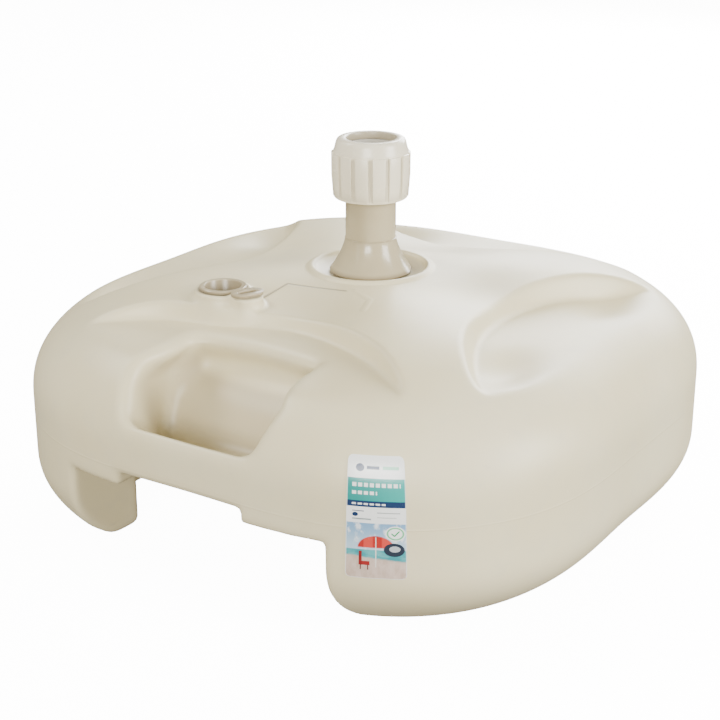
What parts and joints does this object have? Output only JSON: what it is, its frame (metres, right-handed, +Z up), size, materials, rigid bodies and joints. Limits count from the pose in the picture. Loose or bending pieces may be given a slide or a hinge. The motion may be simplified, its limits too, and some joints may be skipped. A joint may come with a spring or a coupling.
{
  "type": "parasol base",
  "caption": "Hollow fillable parasol base on soft corner lobes, with a carrying handle, a plug-in pole tube and a clamp nut.",
  "frame": {"origin": "centre of the floor footprint, on the pole axis, at the height of the floor", "axes": "+Z up along the pole; -Y towards the handle side; +X to the right of the handle side"},
  "size_m": [0.501, 0.501, 0.307],
  "materials": {
    "tank_plastic": "satin moulded polyethylene",
    "tube_plastic": "smooth satin injection moulding",
    "nut_plastic": "smooth satin injection moulding",
    "plug_plastic": "soft satin polyethylene",
    "seal_rubber": "matte",
    "label_film": "printed film"
  },
  "bodies": {
    "tank": {"body_shell": "tank_plastic", "tube_seal": "seal_rubber", "product_label": "label_film"},
    "tube": {"pole_tube": "tube_plastic"},
    "collet": {"clamp_collet": "nut_plastic"},
    "nut": {"clamp_nut": "nut_plastic"},
    "plug": {"filler_plug": "plug_plastic", "plug_seal": "seal_rubber"}
  },
  "joints": [
    {"name": "tube_lift", "type": "slide", "parent": "tank", "child": "tube", "axis": [0, 0, 1], "range_m": [0, 0.13]},
    {"name": "collet_travel", "type": "slide", "parent": "tube", "child": "collet", "axis": [0, 0, 1], "range_m": [0, 0.0076]},
    {"name": "nut_turn", "type": "hinge", "parent": "collet", "child": "nut", "pos_m": [0, 0, 0.28], "axis": [0, 0, 1], "range_deg": [0, 540]},
    {"name": "plug_lift", "type": "slide", "parent": "tank", "child": "plug", "axis": [0, 0, 1], "range_m": [0, 0.025]}
  ],
  "couplings": [
    {"joint": "collet_travel", "follows": "nut_turn", "m_per_rad": 0.00079577}
  ]
}
